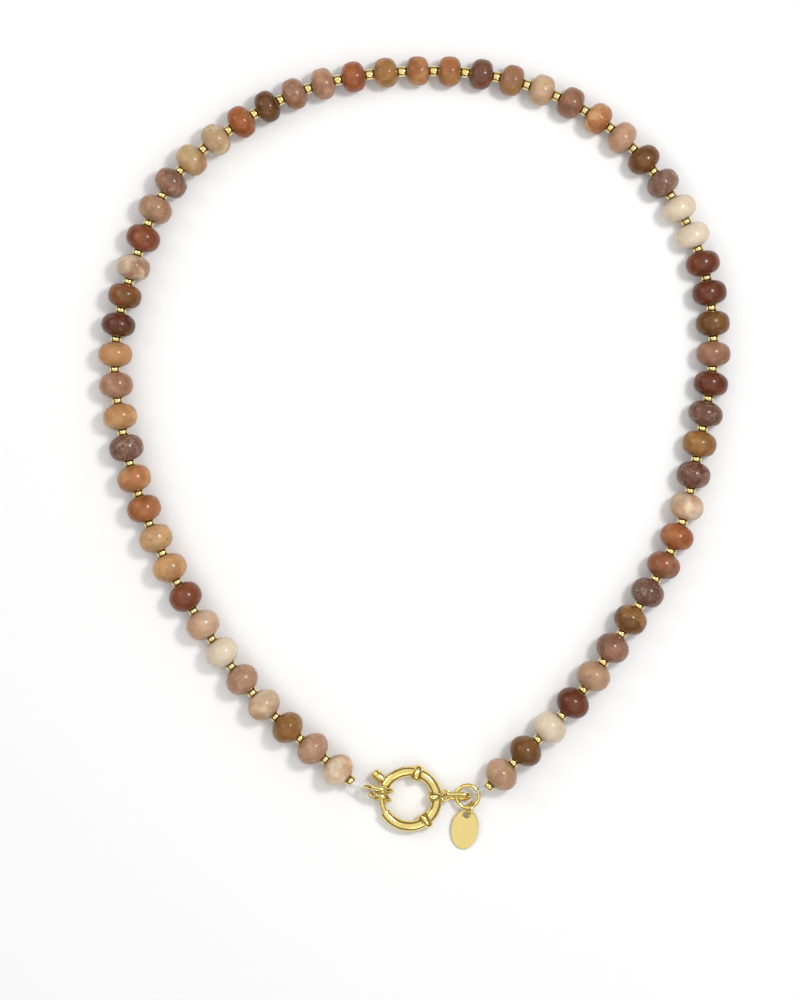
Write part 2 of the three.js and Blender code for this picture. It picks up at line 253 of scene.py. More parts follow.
def add_floor(shade):
    mesh = bpy.data.meshes.new("floor")
    corners = np.array([[-1, -1], [1, -1], [1, 1], [-1, 1]]) * FLOOR_SIDE / 2
    mesh.from_pydata([(x, y, 0) for x, y in corners], [], [(0, 1, 2, 3)])
    floor = bpy.data.objects.new("floor", mesh)
    material, recipe = new_finish("pale table")
    recipe.surface(base_color=(shade, shade, shade, 1), roughness=0.9)
    mesh.materials.append(material)
    scene.collection.objects.link(floor)


studio_sky(overhead=1.27, middle=0.45, horizon=0.03)
softbox("dot lamp", tilt=30, turn=32, side=0.11, radiance=38)
softbox("left box", tilt=52, turn=150, side=0.26, radiance=2.2)
softbox("near box", tilt=48, turn=-75, side=0.2, radiance=1.6)
add_floor(0.88)
scene.view_settings.view_transform = "Standard"

# %% [markdown]
# ## Skins
# Every piece is a skin round a line: at each place along the line stands a ring of points, square to
# it. A bead is a skin round a straight line with a changing radius, a jump ring is one round a
# circle. All the points are worked out at once as an array of rows (along the line) and columns
# (round it). Rows that shrink to a point and columns that meet again are welded afterwards.


# %% Skins
SHARP_ANGLE = 40
WELD_DISTANCE = 1e-4 * MM
MARK_KINDS = {1: ("FLOAT", "value"), 3: ("FLOAT_VECTOR", "vector"), 4: ("FLOAT_COLOR", "color")}


def skin(centres, directions, radii, normal, sides, start=0.0, end=2 * np.pi):
    """Rings round a line: centre + radius * (across * cos v + normal * sin v), where across is the
    direction times the normal, and v runs from start to end. Start and end may differ by row."""
    centres, directions = np.broadcast_arrays(centres, directions)
    across = np.cross(directions, normal)
    share = np.linspace(0, 1, sides + 1)
    v = np.expand_dims(start, -1) + np.expand_dims(np.asarray(end) - start, -1) * share
    v = np.broadcast_to(v, (len(centres), sides + 1))[..., None]
    rim = across[:, None] * np.cos(v) + np.asarray(normal) * np.sin(v)
    return centres[:, None] + np.asarray(radii)[:, None, None] * rim


def squares(grid):
    """The points of a grid as a list, and its four-cornered faces as their numbers."""
    rows, columns = grid.shape[:2]
    index = np.arange(rows * columns).reshape(rows, columns)
    corners = [index[:-1, :-1], index[1:, :-1], index[1:, 1:], index[:-1, 1:]]
    return grid.reshape(-1, 3), np.stack(corners, axis=-1).reshape(-1, 4)


def new_piece(name, grids, material, body, nodes, marks=None):
    """One object from several grids, welded, with its faces pointing out, on its body. Marks are
    values or vectors for each point, which the finish reads."""
    lists = [squares(grid) for grid in grids]
    counts = np.cumsum([0] + [len(points) for points, _ in lists])
    points = np.concatenate([points for points, _ in lists])
    faces = np.concatenate([faces + count for (_, faces), count in zip(lists, counts)])
    mesh = bpy.data.meshes.new(name)
    mesh.from_pydata(points.tolist(), [], faces.tolist())
    for mark, values in (marks or {}).items():
        form, field = MARK_KINDS[1 if values.ndim == 1 else values.shape[1]]
        mesh.attributes.new(mark, form, "POINT").data.foreach_set(field, values.ravel())
    weld(mesh)
    mesh.shade_smooth()
    mesh.set_sharp_from_angle(angle=np.radians(SHARP_ANGLE))
    mesh.materials.append(material)
    piece = bpy.data.objects.new(name, mesh)
    scene.collection.objects.link(piece)
    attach(piece, body)
    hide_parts(*nodes)
    print(name, "has", len(mesh.polygons), "faces")
    return piece


def weld(mesh):
    """Merges points that lie on each other and turns every closed skin's faces outwards."""
    shape = bmesh.new()
    shape.from_mesh(mesh)
    bmesh.ops.remove_doubles(shape, verts=shape.verts, dist=WELD_DISTANCE)
    bmesh.ops.recalc_face_normals(shape, faces=shape.faces)
    shape.to_mesh(mesh)
    shape.free()


# %% [markdown]
# ## Where the stones lie
# The string's route is a list of the places of every third stone, measured from the clasp. A smooth
# line through them gives every stone its place and direction, and the room between two neighbours,
# less one gold bead, is the stone's thickness. The string is graded: towards its middle, at the back
# of the neck, the stones get smaller and the gold beads longer.

# %% The string's route
STONES_PER_STEP = 3
GRADED_STONES = 10
STONE_RADIUS = {"front": 3.45 * MM, "back": 3.0 * MM}

# How full the outlines are, at so many stones from the middle of the string
FULLNESS_REACHES = (0, 10, 22, 30)
STONE_FULLNESS = (2.7, 2.4, 2.25, 1.95)
SPACER_LENGTH = {"front": 1.1 * MM, "back": 1.9 * MM}
SPACER_RADIUS = 1.1 * MM
ROUTE = MM * np.array([
    [-14.3, 5.9], [-29.1, 18.9], [-41.3, 34.9], [-50.7, 52.2], [-56.6, 70.3], [-58.8, 89.0],
    [-55.2, 106.4], [-47.7, 123.3], [-33.6, 135.5], [-17.3, 143.1], [1.7, 145.7], [20.5, 143.8],
    [37.7, 136.1], [50.7, 123.2], [58.7, 107.2], [60.8, 89.1], [58.0, 71.1], [53.5, 52.5],
    [44.2, 35.9], [32.7, 19.3], [18.4, 5.0],
])


def smooth_line(knots, places):
    """The cubic through the knots whose slope at each is half the way between its neighbours. It
    runs on straight past its ends. Places are counted in knots from the first."""
    padded = np.vstack([2 * knots[0] - knots[1], knots, 2 * knots[-1] - knots[-2]])
    step = np.minimum(places.astype(int), len(knots) - 2)
    w = (places - step)[:, None]
    before, first, second, after = (padded[step + i] for i in range(4))
    leaving, arriving = (second - before) / 2, (after - first) / 2
    square = 3 * (second - first) - 2 * leaving - arriving
    cube = 2 * (first - second) + leaving + arriving
    return first + leaving * w + square * w**2 + cube * w**3


def unit(vectors):
    return vectors / np.linalg.norm(vectors, axis=-1, keepdims=True)


def graded(sizes):
    """The back size in the middle of the string, changing evenly to the front size."""
    share = np.maximum(0, 1 - np.abs(numbers + 1 - middle) / GRADED_STONES)
    return sizes["front"] + (sizes["back"] - sizes["front"]) * share


stone_count = (len(ROUTE) - 1) * STONES_PER_STEP + 1
middle = (stone_count + 1) // 2
numbers = np.arange(stone_count)
stone_radii = graded(STONE_RADIUS)
fullnesses = np.interp(np.abs(numbers + 1 - middle), FULLNESS_REACHES, STONE_FULLNESS)
plan = smooth_line(ROUTE, numbers / STONES_PER_STEP) + clasp_centre[:2]
stone_places = np.column_stack([plan, stone_radii])
after, before = np.minimum(numbers + 1, stone_count - 1), np.maximum(numbers - 1, 0)
ways = stone_places[after] - stone_places[before]
stone_ways = unit(ways)
pitches = np.linalg.norm(ways, axis=1) / (after - before)
half_stones = (pitches - graded(SPACER_LENGTH)) / 2
print(stone_count, "stones,", (2 * half_stones.mean() / MM).round(2), "mm thick on the whole")

# %% [markdown]
# ## Polished stone
# The stones look like polished quartz: glossy, a little translucent, each with its own ground tone
# and a second tone in soft clouds, and some with dark veins, specks or bands. The chart gives each
# stone its two tones and its kind of marking. The light that enters and comes out again nearby is
# what makes the edges pale, so the shader scatters it under the surface. Near the hole a warm dark
# tone is painted in, a painted shade and reflection of the gold bead seen through the stone. The
# patterns follow the stone's own coordinates, which are stored on its points and turned and shifted
# for each stone, so no two look alike.

# %% The chart of tones
# Six families of mineral colour, each from its palest to its deepest
FAMILIES = {
    "quartz": ("e8dcc8", "b89c78"), "peach": ("d0a878", "985830"), "rose": ("c8a488", "784430"),
    "earth": ("a87c48", "583418"), "brick": ("a86440", "582c20"), "mauve": ("907060", "603c30"),
}

# A tone is a family and how deep it is in it, in tenths
DEPTHS = {
    "milk": ("quartz", 1), "cream": ("quartz", 3), "pink cream": ("quartz", 5),
    "grey cream": ("quartz", 9), "beige": ("quartz", 10), "pale peach": ("peach", 2),
    "peach": ("peach", 4), "amber": ("peach", 5), "honey": ("peach", 8),
    "orange brown": ("peach", 10), "pale rose": ("rose", 0), "rose tan": ("rose", 3),
    "rose": ("rose", 5), "rose brown": ("rose", 7), "tan": ("earth", 2),
    "caramel": ("earth", 3), "olive": ("earth", 7), "umber": ("earth", 8),
    "dark umber": ("earth", 9), "rust": ("brick", 4), "brick": ("brick", 6),
    "dark brick": ("brick", 8), "plum": ("brick", 9), "grey mauve": ("mauve", 3),
    "mauve": ("mauve", 6), "slate mauve": ("mauve", 7),
}


def family_tone(family, depth):
    """palest + depth / 10 * (deepest - palest), in linear light."""
    palest, deepest = (np.array(tone(code)) for code in FAMILIES[family])
    return tuple(palest + depth / 10 * (deepest - palest))


TONES = {name: family_tone(*place) for name, place in DEPTHS.items()}

# Ground tone, second tone, and kind of marking, from the left end over the top to the right end
STONES = [
    ("pink cream", "pale rose", "cloudy"), ("rose tan", "rose", "frosted"),
    ("caramel", "tan", "cloudy"), ("pale rose", "pink cream", "cloudy"),
    ("rose", "rose tan", "frosted"), ("cream", "milk", "plain"),
    ("pale rose", "pink cream", "flecked"), ("brick", "plum", "plain"),
    ("peach", "pale peach", "cloudy"), ("pale peach", "beige", "flecked"),
    ("orange brown", "honey", "cloudy"), ("honey", "amber", "cloudy"),
    ("mauve", "slate mauve", "frosted"), ("peach", "pale peach", "cloudy"),
    ("rose tan", "rose", "cloudy"), ("amber", "peach", "plain"),
    ("plum", "dark umber", "veined"), ("olive", "rust", "cloudy"),
    ("rose", "pink cream", "frosted"), ("rust", "brick", "cloudy"),
    ("rose", "beige", "flecked"), ("rose brown", "mauve", "frosted"),
    ("beige", "peach", "cloudy"), ("beige", "pink cream", "flecked"),
    ("honey", "orange brown", "cloudy"), ("dark umber", "umber", "veined"),
    ("rose brown", "caramel", "frosted"), ("rose tan", "rose", "cloudy"),
    ("rust", "orange brown", "cloudy"), ("tan", "peach", "veined"),
    ("honey", "amber", "cloudy"), ("honey", "tan", "cloudy"),
    ("mauve", "brick", "cloudy"), ("tan", "rose brown", "cloudy"),
    ("grey cream", "pale rose", "flecked"), ("rose brown", "mauve", "cloudy"),
    ("honey", "pale peach", "cloudy"), ("rose tan", "pale rose", "flecked"),
    ("umber", "umber", "cloudy"), ("grey mauve", "mauve", "frosted"),
    ("cream", "pink cream", "plain"), ("cream", "milk", "plain"),
    ("dark brick", "brick", "cloudy"), ("dark brick", "plum", "cloudy"),
    ("olive", "umber", "veined"), ("rose", "rose brown", "cloudy"),
    ("dark brick", "plum", "cloudy"), ("slate mauve", "mauve", "frosted"),
    ("tan", "caramel", "cloudy"), ("mauve", "plum", "frosted"),
    ("pink cream", "pale rose", "cloudy"), ("honey", "orange brown", "cloudy"),
    ("rose brown", "rust", "cloudy"), ("slate mauve", "mauve", "frosted"),
    ("tan", "umber", "banded"), ("rose brown", "mauve", "veined"),
    ("rose tan", "beige", "flecked"), ("plum", "dark brick", "cloudy"),
    ("cream", "pink cream", "plain"), ("umber", "olive", "cloudy"),
    ("rose tan", "beige", "frosted"),
]

# How strongly each kind of marking shows its clouds, veins, dark specks, pale specks and bands
STRENGTHS = ("clouds", "veins", "specks", "frost", "bands")
MARKINGS = {
    "plain": (0.35, 0.0, 0.0, 0.0, 0.0),
    "cloudy": (0.95, 0.2, 0.1, 0.1, 0.0),
    "veined": (0.8, 0.9, 0.2, 0.2, 0.0),
    "frosted": (0.8, 0.2, 0.3, 0.8, 0.0),
    "flecked": (0.6, 0.1, 0.8, 0.1, 0.0),
    "banded": (0.5, 0.3, 0.2, 0.2, 0.95),
}
print(len(STONES), "stones in", len({ground for ground, _, _ in STONES}), "ground tones")


# %% Polished stone
# Factors on the colour in veins and specks, on a stone's deeper side, and in its light clouds
MARK_SHADE = (0.4, 0.3, 0.24, 1)
SIDE_SHADE = (0.76, 0.71, 0.66, 1)
CLOUD_LIGHT = (1.24, 1.18, 1.1, 1)
# A painted shade and reflection of the gold bead, put on the stone around its hole
BEAD_SHADE_AND_REFLECTION = "77541f"
POLISH_WAVE = 0.03 * MM


def polished_stone():
    """Ground tone, soft clouds of the second tone, bands, dark veins, dark and pale specks, one side
    deeper than the other, and around the hole a painted shade and reflection of the gold bead."""
    material, recipe = new_finish("polished stone")
    grain = recipe.attribute("grain", "Vector")
    ground = recipe.attribute("ground", "Color")
    second = recipe.attribute("second", "Color")
    contrast = recipe.attribute("clouds")
    clouds = recipe.between(recipe.noise(grain, 0.28, 3, 0.5, 0.5), 0.42, 0.6)
    colour = recipe.blend(clouds * contrast, ground, second)
    along = recipe.node("SeparateXYZ", {}, {"Vector": grain}, output="X")
    wander = recipe.noise(grain, 0.3, 2, 0.5)
    stripes = recipe.maths("SINE", along * 1.3 + wander * 7)
    bands = recipe.between(stripes, -0.1, 0.5) * recipe.attribute("bands")
    colour = recipe.blend(bands, colour, second)
    dark = recipe.blend(1.0, colour, MARK_SHADE, "MULTIPLY")
    places = recipe.between(recipe.noise(grain, 0.4, 1), 0.46, 0.56)
    ridge = recipe.maths("ABSOLUTE", recipe.noise(grain, 0.34, 3, 0.55, 1.0) - 0.5)
    veins = (1 - recipe.between(ridge, 0.0, 0.05)) * places * recipe.attribute("veins")
    colour = recipe.blend(veins * 0.6, colour, dark)
    spots = recipe.node("TexVoronoi", {}, {"Vector": grain, "Scale": 0.7, "Randomness": 1.0})
    specks = (1 - recipe.between(spots, 0.1, 0.21)) * places * recipe.attribute("specks")
    colour = recipe.blend(specks * 0.8, colour, dark)
    pale = recipe.blend(0.45, colour, TONES["milk"])
    flakes = recipe.between(recipe.noise(grain, 0.9, 4, 0.65, 1.2), 0.5, 0.66)
    colour = recipe.blend(flakes * recipe.attribute("frost") * 0.6, colour, pale)
    depth = recipe.between(recipe.noise(grain, 0.16, 2, 0.5, 0.5), 0.38, 0.62)
    deep = recipe.blend(1.0, colour, SIDE_SHADE, "MULTIPLY")
    colour = recipe.blend((1 - depth) * contrast, colour, deep)
    fine = recipe.noise(grain, 0.7, 3, 0.5, 0.4)
    light = recipe.blend(1.0, colour, CLOUD_LIGHT, "MULTIPLY")
    colour = recipe.blend(recipe.between(fine, 0.4, 0.66) * contrast, colour, light)
    # Painted shade and reflection of the gold bead near the hole
    colour = recipe.blend(recipe.attribute("seat") * 0.75, colour, tone(BEAD_SHADE_AND_REFLECTION))
    polish = recipe.noise(grain, 0.6, 1)
    recipe.surface(
        base_color=colour,
        roughness=0.13 + 0.08 * polish + 0.08 * veins,
        ior=1.55,
        specular_ior_level=0.24,
        subsurface_weight=0.45,
        subsurface_radius=(1.0, 0.6, 0.4),
        subsurface_scale=1.0 * MM,
        normal=recipe.bump(polish, POLISH_WAVE, 0.5),
    )
    return material


stone_finish = polished_stone()
print("finish:", stone_finish.name)

# %% [markdown]
# ## Stones
# A stone is a flattened ball, fuller than an ellipse, with a hole along the string. Its outline is a
# superellipse that ends where the gold bead bears on it, then runs flat to the hole and back through
# it. The stones are polished by hand, so each has its own fullness, a slightly uneven rim and a
# slight lean, and each rests on the table by its own lowest point.

# %% Stones
BORE_RADIUS = 0.45 * MM
SEAT_RADIUS = 0.8 * MM
# How far from the string the painted shade and reflection of the gold bead reaches, in millimetres
BEAD_SHADE_REACH = 2.1
OUTLINE_STEPS = 26
STONE_SIDES = 48
PIECES_PER_HALF = 4

# How far apart the stones are at most, in fullness, uneven rim, lean, and place of their pattern
FULLNESS_SPREAD = 0.12
MOST_SWELL = 0.025
MOST_LEAN = 0.045
MOST_SHIFT = 100
chance = np.random.default_rng(61)


def drilled_outline(half, radius, seat, bore, fullness, steps):
    """Half outline turned round the string: |x / a|^n + |r / radius|^n = 1 from seat to seat, where a
    is chosen so that x is half at the seat's radius, then flat in to the bore and back through it."""
    limit = np.arccos((seat / radius) ** (fullness / 2))
    t = np.linspace(-limit, limit, steps)
    reach = half / np.sin(limit) ** (2 / fullness)
    x = reach * np.sign(t) * np.abs(np.sin(t)) ** (2 / fullness)
    r = radius * np.cos(t) ** (2 / fullness)
    return np.r_[x, half, -half, x[0]], np.r_[r, bore, bore, r[0]]


def stone_grid(number, fullness, swell, lean, phase):
    """A stone at its place. Its radius is 1 + swell * cos(2 v + phase) times the outline's, and its
    points move along the string by lean * radius * cos(v + phase). It then rests on the table."""
    half = half_stones[number]
    radius = stone_radii[number]
    x, r = drilled_outline(half, radius, SEAT_RADIUS, BORE_RADIUS, fullness, OUTLINE_STEPS)
    v = np.linspace(0, 2 * np.pi, STONE_SIDES + 1)
    rim = r[:, None] * (1 + swell * np.cos(2 * v + phase) * (r[:, None] > BORE_RADIUS))
    along = x[:, None] + lean * rim * np.cos(v + phase)
    local = np.stack([along, rim * np.cos(v), rim * np.sin(v)], -1)
    way = stone_ways[number]
    placed = stone_places[number] + local @ np.array([way, np.cross(UP, way), UP])
    placed[..., 2] -= placed[..., 2].min()
    return placed, local


def random_turn():
    """A turn of space chosen at random."""
    turned, _ = np.linalg.qr(chance.normal(size=(3, 3)))
    return turned


def stone_marks(number, local):
    """What the finish reads at each point of a stone."""
    ground, second, kind = STONES[number]
    points = local.reshape(-1, 3) / MM
    shift = chance.uniform(0, MOST_SHIFT, 3)
    banded = kind == "banded"
    grain = points + shift if banded else points @ random_turn() + shift
    strengths = zip(STRENGTHS, MARKINGS[kind])
    marks = {name: np.full(len(points), strength) for name, strength in strengths}
    # Painted shade and reflection of the gold bead: full out to the seat's radius, none past its
    # reach
    from_axis = np.hypot(points[:, 1], points[:, 2])
    marks["seat"] = np.clip((BEAD_SHADE_REACH - from_axis) / (BEAD_SHADE_REACH - SEAT_RADIUS / MM), 0, 1)
    marks["grain"] = grain
    marks["ground"] = np.tile(TONES[ground], (len(points), 1))
    marks["second"] = np.tile(TONES[second], (len(points), 1))
    return marks


def add_stones(name, group, node):
    grids, marks = [], []
    for number in group:
        fullness = fullnesses[number] + chance.uniform(-FULLNESS_SPREAD, FULLNESS_SPREAD)
        swell, lean = chance.uniform(0, MOST_SWELL), chance.uniform(0, MOST_LEAN)
        grid, local = stone_grid(number, fullness, swell, lean, chance.uniform(0, 2 * np.pi))
        grids.append(grid)
        marks.append(stone_marks(number, local))
    joined = {mark: np.concatenate([each[mark] for each in marks]) for mark in marks[0]}
    new_piece(name, grids, stone_finish, "root", [node], joined)


for node, half in (("string_left", numbers[:middle]), ("string_right", numbers[middle:])):
    for group in np.array_split(half, PIECES_PER_HALF):
        add_stones(f"stones_{group[0] + 1:02d}_{group[-1] + 1:02d}", group, node)

# %% [markdown]
# ## Gold
# The metal has the yellow of gold plating. A metal has no colour under its gloss: the base colour
# is the tint of what it reflects. Polishing leaves faint waves, which bend the reflections, and fine
# wear, which blurs them here and there. The seed beads are plated a paler gold than the clasp and
# its rings, and at their ends a brown is painted in, a painted reflection of the stones beside them
# and painted shade where bead and stone meet. The tag is brushed instead, so its grain runs one way
# and its reflections melt into an even pale sheen.


# %% Gold finishes
WORN_TONE = "d4b662"
# Painted reflection of the stones and painted shade at the ends of the seed beads
BEAD_END_REFLECTION_TONE = "8a6428"


def polished_gold(name, first, second):
    material, recipe = new_finish(name)
    place = recipe.node("TexCoord", output="Object")
    waves = recipe.noise(place, 700, 1)
    wear = recipe.noise(place, 2600, 4, 0.7)
    worn = recipe.between(wear, 0.5, 0.8)
    tint = recipe.blend(recipe.between(waves, 0.3, 0.7), tone(first), tone(second))
    tint = recipe.blend(worn * 0.35, tint, tone(WORN_TONE))
    # Painted reflection and shade at a seed bead's ends; pieces without the mark read 0
    tint = recipe.blend(recipe.attribute("ends") * 0.75, tint, tone(BEAD_END_REFLECTION_TONE))
    recipe.surface(
        base_color=tint,
        metallic=1.0,
        roughness=0.1 + 0.12 * worn,
        normal=recipe.bump(waves + wear * 0.05, 0.03 * MM, 0.4),
    )
    return material


def brushed_gold():
    material, recipe = new_finish("brushed gold")
    place = recipe.node("TexCoord", output="Object")
    strokes = recipe.node("Mapping", {}, {"Vector": place, "Scale": (9000, 500, 500)})
    lines = recipe.noise(strokes, 1.0, 3, 0.6)
    cloud = recipe.noise(place, 350, 2)
    tint = recipe.blend(recipe.between(lines, 0.3, 0.7), tone("e1cb82"), tone("e6d18c"))
    recipe.surface(
        base_color=tint,
        metallic=1.0,
        roughness=0.36 + 0.1 * cloud,
        normal=recipe.bump(lines, 0.003 * MM, 0.2),
    )
    return material


gold = polished_gold("polished gold", "e9cf7e", "eed88d")
bead_gold = polished_gold("bead gold", "ebcf86", "f2db9a")
satin = brushed_gold()
print("finishes:", gold.name, "and", bead_gold.name, "and", satin.name)

# %% [markdown]
# ## Gold beads
# Between each two stones sits a small drum-shaped metal bead, and one more at each end of the
# string. A bead is the same drilled outline as a stone, only small and squarer, so its ends reflect
# the stones beside it as dark rims. Its finish adds a painted brown at the ends as well, a painted
# reflection of the stones and painted shade where bead and stone meet.

# %% Gold beads
SPACER_SEAT = 0.85 * MM
SPACER_BORE = 0.42 * MM
SPACER_FULLNESS = {"front": 3.1, "back": 2.3}
SPACER_STEPS = 14
SPACER_SIDES = 28

faces_before = stone_places - stone_ways * half_stones[:, None]
faces_after = stone_places + stone_ways * half_stones[:, None]
end_reach = stone_ways[[0, -1]] * SPACER_LENGTH["front"]
starts = np.vstack([faces_before[0] - end_reach[0], faces_after])
ends = np.vstack([faces_before, faces_after[-1] + end_reach[1]])
spacer_places, spacer_ways = (starts + ends) / 2, unit(ends - starts)
spacer_halves = np.linalg.norm(ends - starts, axis=1) / 2
stone_side = graded(SPACER_FULLNESS)
spacer_fullnesses = np.append(stone_side, stone_side[0])


def spacer_grid(place, way, half, fullness):
    x, r = drilled_outline(half, SPACER_RADIUS, SPACER_SEAT, SPACER_BORE, fullness, SPACER_STEPS)
    return skin(place + way * x[:, None], way, r, UP, SPACER_SIDES)


def end_reflection_shares(grid, place, way, half):
    """Share of the painted reflection and shade: 0 in the middle half of a bead, rising evenly to 1
    at its ends.
    """
    return np.clip(2 * np.abs((grid - place) @ way).ravel() / half - 1, 0, 1)


def add_spacers(name, group, node):
    grids, marks = [], []
    for number in group:
        place, way, half = spacer_places[number], spacer_ways[number], spacer_halves[number]
        grids.append(spacer_grid(place, way, half, spacer_fullnesses[number]))
        marks.append(end_reflection_shares(grids[-1], place, way, half))
    # The ends mark carries the painted reflection and shade at each bead's ends
    new_piece(name, grids, bead_gold, "root", [node], {"ends": np.concatenate(marks)})


spacer_numbers = np.arange(len(spacer_places))
add_spacers("spacers_left", spacer_numbers[:middle + 1], "string_left")
add_spacers("spacers_right", spacer_numbers[middle + 1:], "string_right")

# %% [markdown]
# ## Round wire and bars
# Jump rings, the link and the thread's loops are all wire along a flat line. A jump ring is not
# closed: it is a bent piece of wire whose two cut ends nearly meet, and that fine slit is what tells
# it from a cast ring. Bars and wires end flat with a rounded rim.


# %% Wire
BELT_STEP = 9
ROUNDING_STEPS = 5


def arc(centre, radius, start, first=(1, 0, 0), second=(0, 1, 0)):
    """A circle's line: at the length s it stands at the angle start + s / radius, in the plane of
    the first and second direction. Gives a function of s with the places and the directions."""
    first, second = np.asarray(first, float), np.asarray(second, float)

    def line(s):
        angle = (start + s / radius)[:, None]
        place = centre + radius * (first * np.cos(angle) + second * np.sin(angle))
        return place, second * np.cos(angle) - first * np.sin(angle)

    return line


def bar(line, length, radius, normal, sides, rounding, steps):
    """A round bar with flat ends, whose rims are quarter circles of the given rounding."""
    quarter = np.linspace(0, np.pi / 2, ROUNDING_STEPS)
    rise = rounding * (1 - np.cos(quarter))
    fall = radius - rounding * (1 - np.sin(quarter))
    middle_part = np.linspace(rounding, length - rounding, steps)[1:-1]
    s = np.r_[0, rise, middle_part, length - rise[::-1], length]
    radii = np.r_[0, fall, np.full(len(middle_part), radius), fall[::-1], 0]
    places, directions = line(s)
    return skin(places, directions, radii, normal, sides)


def plane_of(lean, turn):
    """The two directions of a plane that leans up from the floor about its first one, and its
    normal. The first lies level at the angle turn."""
    lean, turn = np.radians([lean, turn])
    first = np.array([np.cos(turn), np.sin(turn), 0])
    level = np.array([-np.sin(turn), np.cos(turn), 0])
    second = level * np.cos(lean) + UP * np.sin(lean)
    return first, second, np.cross(first, second)


def belt(circles):
    """A closed line round circles in a plane, as a belt runs round pulleys: on each an arc between
    the two tangents, whose angle is the way to the next circle less arccos of the difference of the
    radii over the distance."""
    circles = np.asarray(circles, float)
    ways = np.roll(circles, -1, axis=0) - circles
    spans = np.hypot(ways[:, 0], ways[:, 1])
    leaving = np.arctan2(ways[:, 1], ways[:, 0]) - np.arccos(-ways[:, 2] / spans)
    turns = (leaving - np.roll(leaving, 1)) % (2 * np.pi)
    steps = np.ceil(turns / np.radians(BELT_STEP)).astype(int)
    return np.concatenate([
        circle[:2] + circle[2] * np.column_stack([np.cos(angles), np.sin(angles)])
        for circle, angles in zip(circles, (
            np.linspace(end - turn, end, count + 1)
            for end, turn, count in zip(leaving, turns, steps)
        ))
    ])


def closed_wire(points, normal, radius, sides):
    """Wire along a closed flat line. Its direction at a point is that between the neighbours."""
    directions = unit(np.roll(points, -1, axis=0) - np.roll(points, 1, axis=0))
    grid = skin(points, directions, np.full(len(points), radius), normal, sides)
    return np.concatenate([grid, grid[:1]])


def box_centre(node):
    low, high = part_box(node)
    return (np.array(low) + np.array(high)) / 2


print("a belt round two circles has", len(belt([[0, 0, 1], [4, 0, 2]])), "points")

# %% [markdown]
# ## Jump rings
# Two rings stand on the table and hook on the clasp's tongue, one lies level and holds the right end
# of the string, and a small one carries the tag. Their leans and turns are those of the packed
# model, and each takes its middle from its solid's box.

# %% Jump rings
WIRE_SIDES = 20
WIRE_ROUNDING = 0.08 * MM
RING_STEPS = 90
SLIT = 0.05 * MM

# In millimetres and degrees
RINGS = {
    "end_ring_1": {"diameter": 6.3, "wire": 0.9, "lean": 82, "turn": -10, "cut": 65},
    "end_ring_2": {"diameter": 5, "wire": 0.9, "lean": 76, "turn": -16, "cut": 118},
    "joining_ring": {"diameter": 5.3, "wire": 0.8, "lean": 0, "turn": 0, "cut": 201},
    "tag_ring": {"diameter": 3.5, "wire": 0.52, "lean": 80, "turn": -105, "cut": 120},
}


def ring_size(name):
    """The radius of a ring's middle line and of its wire."""
    wire = RINGS[name]["wire"] * MM
    return (RINGS[name]["diameter"] * MM - wire) / 2, wire / 2


def add_jump_ring(name):
    ring = RINGS[name]
    radius, wire_radius = ring_size(name)
    first, second, normal = plane_of(ring["lean"], ring["turn"])
    centre = box_centre(name)
    line = arc(centre, radius, np.radians(ring["cut"]) + SLIT / radius / 2, first, second)
    length = 2 * np.pi * radius - SLIT
    grid = bar(line, length, wire_radius, normal, WIRE_SIDES, WIRE_ROUNDING, RING_STEPS)
    new_piece(name, [grid], gold, "root", [name])


for name in RINGS:
    add_jump_ring(name)

# %% [markdown]
# ## Clasp link
# A pear-shaped link joins the clasp's eye to the lying ring: narrow where it passes through the eye,
# wide where it holds the ring.

# %% Clasp link
CLASP_RADIUS = 5.52 * MM
TUBE_RADIUS = 1.08 * MM
EYE = {"angle": 5, "collar": 1.0 * MM, "hole": 1.55 * MM, "wire": 0.45 * MM}

# In millimetres and degrees
LINK = {"length": 5.7, "wire": 0.96, "narrow": 1.0, "wide": 1.3, "lean": 66, "turn": -2}


def outward(angle):
    """The level direction at an angle in degrees from +X."""
    angle = np.radians(angle)
    return np.array([np.cos(angle), np.sin(angle), 0])


def polar(angle, distance):
    """A point of the clasp's plane at an angle in degrees and a distance from its centre."""
    return clasp_centre + distance * outward(angle)


eye_place = polar(EYE["angle"], CLASP_RADIUS + EYE["collar"] + EYE["hole"] / 2)
first, second, normal = plane_of(LINK["lean"], LINK["turn"])
far = LINK["length"] - LINK["wire"] - LINK["wide"]
path = MM * belt([[LINK["narrow"], 0, LINK["narrow"]], [far, 0, LINK["wide"]]])
link_line = eye_place + path @ np.array([first, second])
link_grid = closed_wire(link_line, normal, LINK["wire"] * MM / 2, WIRE_SIDES)
new_piece("clasp_link", [link_grid], gold, "root", ["clasp_link"])

# %% [markdown]
# ## Thread
# Clear beading thread runs through every stone and bead. At each end it leaves the last bead, loops
# round the jump rings there and goes back in. It is made as a tube through all the holes and two
# closed loops.

# %% Thread
THREAD_RADIUS = 0.2 * MM
PLAY = 0.2 * MM
THREAD_SIDES = 12

# Where the thread's tube ends, just inside the outermost beads
left_entry = starts[0] + spacer_ways[0] * 2 * THREAD_RADIUS
right_entry = ends[-1] - spacer_ways[-1] * 2 * THREAD_RADIUS


def clear_thread():
    material, recipe = new_finish("clear thread")
    place = recipe.node("TexCoord", output="Object")
    cloud = recipe.noise(place, 1500, 2)
    recipe.surface(
        base_color=recipe.blend(cloud, tone("fbf9f6"), tone("f0ece6")),
        roughness=0.25 + 0.15 * cloud,
        ior=1.45,
        transmission_weight=0.5,
    )
    return material


